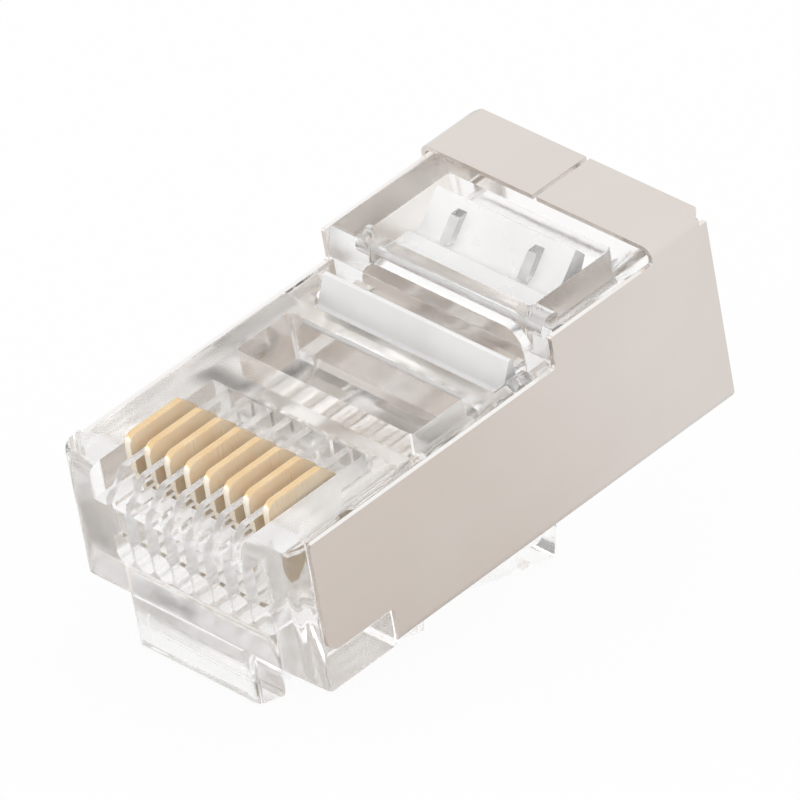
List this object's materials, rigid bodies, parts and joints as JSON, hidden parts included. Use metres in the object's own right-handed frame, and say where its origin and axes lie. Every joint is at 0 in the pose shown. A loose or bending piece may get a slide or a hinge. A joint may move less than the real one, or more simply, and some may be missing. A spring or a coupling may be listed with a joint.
{
  "type": "modular plug",
  "caption": "Shielded modular plug: clear housing with a row of gold blade contacts, folded metal shell, snap latch underneath and hinged conductor and jacket clamps on top.",
  "frame": {"origin": "where the nose plane, the centre plane and the latch-side face meet, the datum a jack locates the plug by", "axes": "+X across the plug, +Y from the nose to the cable end, +Z from the latch side to the contact side"},
  "size_m": [0.0118, 0.022, 0.0136],
  "materials": {
    "clear_polycarbonate": "clear, polished mould",
    "frosted_polycarbonate": "clear, lightly frosted",
    "nickel_shell": "satin nickel plating",
    "gold_contact": "gold plating"
  },
  "bodies": {
    "plug": {"housing": "clear_polycarbonate", "shield": "nickel_shell"},
    "latch": {"latch_lever": "clear_polycarbonate"},
    "conductor_clamp": {"conductor_clamp": "clear_polycarbonate"},
    "jacket_clamp": {"jacket_clamp": "frosted_polycarbonate"},
    "contact_1": {"contact_1": "gold_contact"},
    "contact_2": {"contact_2": "gold_contact"},
    "contact_3": {"contact_3": "gold_contact"},
    "contact_4": {"contact_4": "gold_contact"},
    "contact_5": {"contact_5": "gold_contact"},
    "contact_6": {"contact_6": "gold_contact"},
    "contact_7": {"contact_7": "gold_contact"},
    "contact_8": {"contact_8": "gold_contact"}
  },
  "joints": [
    {"name": "latch_flex", "type": "hinge", "parent": "plug", "child": "latch", "pos_m": [0, 0.00185, -0.0005], "axis": [1, 0, 0], "range_deg": [0, 14], "stiffness_Nm_per_rad": 0.15},
    {"name": "conductor_clamp_turn", "type": "hinge", "parent": "plug", "child": "conductor_clamp", "pos_m": [0, 0.01272, 0.00575], "axis": [1, 0, 0], "range_deg": [0, 20]},
    {"name": "jacket_clamp_turn", "type": "hinge", "parent": "plug", "child": "jacket_clamp", "pos_m": [0, 0.01508, 0.0071], "axis": [-1, 0, 0], "range_deg": [0, 28]},
    {"name": "contact_1_crimp", "type": "slide", "parent": "plug", "child": "contact_1", "axis": [0, 0, -1], "range_m": [0, 0.0011]},
    {"name": "contact_2_crimp", "type": "slide", "parent": "plug", "child": "contact_2", "axis": [0, 0, -1], "range_m": [0, 0.0011]},
    {"name": "contact_3_crimp", "type": "slide", "parent": "plug", "child": "contact_3", "axis": [0, 0, -1], "range_m": [0, 0.0011]},
    {"name": "contact_4_crimp", "type": "slide", "parent": "plug", "child": "contact_4", "axis": [0, 0, -1], "range_m": [0, 0.0011]},
    {"name": "contact_5_crimp", "type": "slide", "parent": "plug", "child": "contact_5", "axis": [0, 0, -1], "range_m": [0, 0.0011]},
    {"name": "contact_6_crimp", "type": "slide", "parent": "plug", "child": "contact_6", "axis": [0, 0, -1], "range_m": [0, 0.0011]},
    {"name": "contact_7_crimp", "type": "slide", "parent": "plug", "child": "contact_7", "axis": [0, 0, -1], "range_m": [0, 0.0011]},
    {"name": "contact_8_crimp", "type": "slide", "parent": "plug", "child": "contact_8", "axis": [0, 0, -1], "range_m": [0, 0.0011]}
  ]
}
